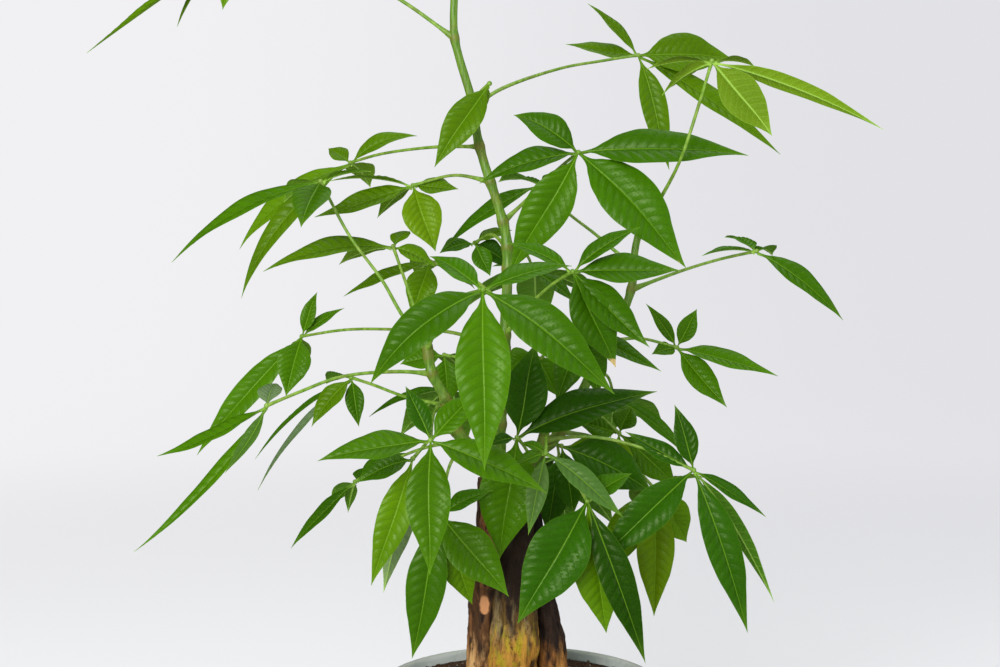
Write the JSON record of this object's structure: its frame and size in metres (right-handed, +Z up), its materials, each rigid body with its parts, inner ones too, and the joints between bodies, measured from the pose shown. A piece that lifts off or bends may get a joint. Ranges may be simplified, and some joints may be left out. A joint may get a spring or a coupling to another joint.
{
  "type": "potted money tree",
  "caption": "Small indoor money tree with twisted trunk stems, long-stalked palmate leaves and a plain tapered glazed pot of soil.",
  "frame": {"origin": "centre of the pot's flat foot, on the surface that the pot stands on", "axes": "+Z up along the pot's axis; -Y towards the side that the picture shows; +X to the right in it"},
  "size_m": [0.462, 0.3155, 0.664],
  "materials": {
    "glaze": "satin",
    "soil": "matte",
    "bark": "matte",
    "green_stem": "satin",
    "leaf": "satin"
  },
  "bodies": {
    "root": {"pot": "glaze", "soil": "soil", "trunk_stem_front": "bark", "trunk_stem_left": "bark", "trunk_stem_right": "bark", "trunk_stem_back": "bark", "shoot_left": "green_stem", "shoot_centre": "green_stem", "shoot_right": "green_stem", "shoot_front": "green_stem", "leaf_front_middle": "leaf", "leaf_front_low": "leaf", "leaf_low_left_inner": "leaf", "leaf_low_left_back": "leaf", "leaf_low_left_hanging": "leaf", "leaf_middle_young": "leaf", "leaf_middle_dark": "leaf", "leaf_low_middle": "leaf", "leaf_low_right": "leaf", "leaf_low_right_back": "leaf", "leaf_middle_back": "leaf", "leaf_right_inner": "leaf", "leaf_right_middle": "leaf", "leaf_right_end": "leaf", "leaf_upper_middle": "leaf", "leaf_upper_back": "leaf", "leaf_middle_right": "leaf", "leaf_middle_inner": "leaf", "leaf_centre_back": "leaf", "leaf_top_right": "leaf", "leaf_top_right_back": "leaf", "leaf_centre_single": "leaf", "leaf_upper_left_inner": "leaf", "leaf_upper_left": "leaf", "leaf_upper_left_back": "leaf", "leaf_left_inner": "leaf", "leaf_left_inner_back": "leaf", "leaf_left_far": "leaf", "leaf_left_front": "leaf", "leaf_left_middle": "leaf", "leaf_top_left": "leaf", "leaf_crown_right": "leaf", "leaf_crown_back": "leaf", "leaf_crown_left": "leaf", "leaf_crown_tip": "leaf", "leaf_back_right": "leaf", "leaf_back_middle": "leaf", "leaf_back_left": "leaf", "leaf_centre_low_back": "leaf", "leaf_centre_low_left": "leaf", "leaf_back_low": "leaf"}
  },
  "joints": []
}
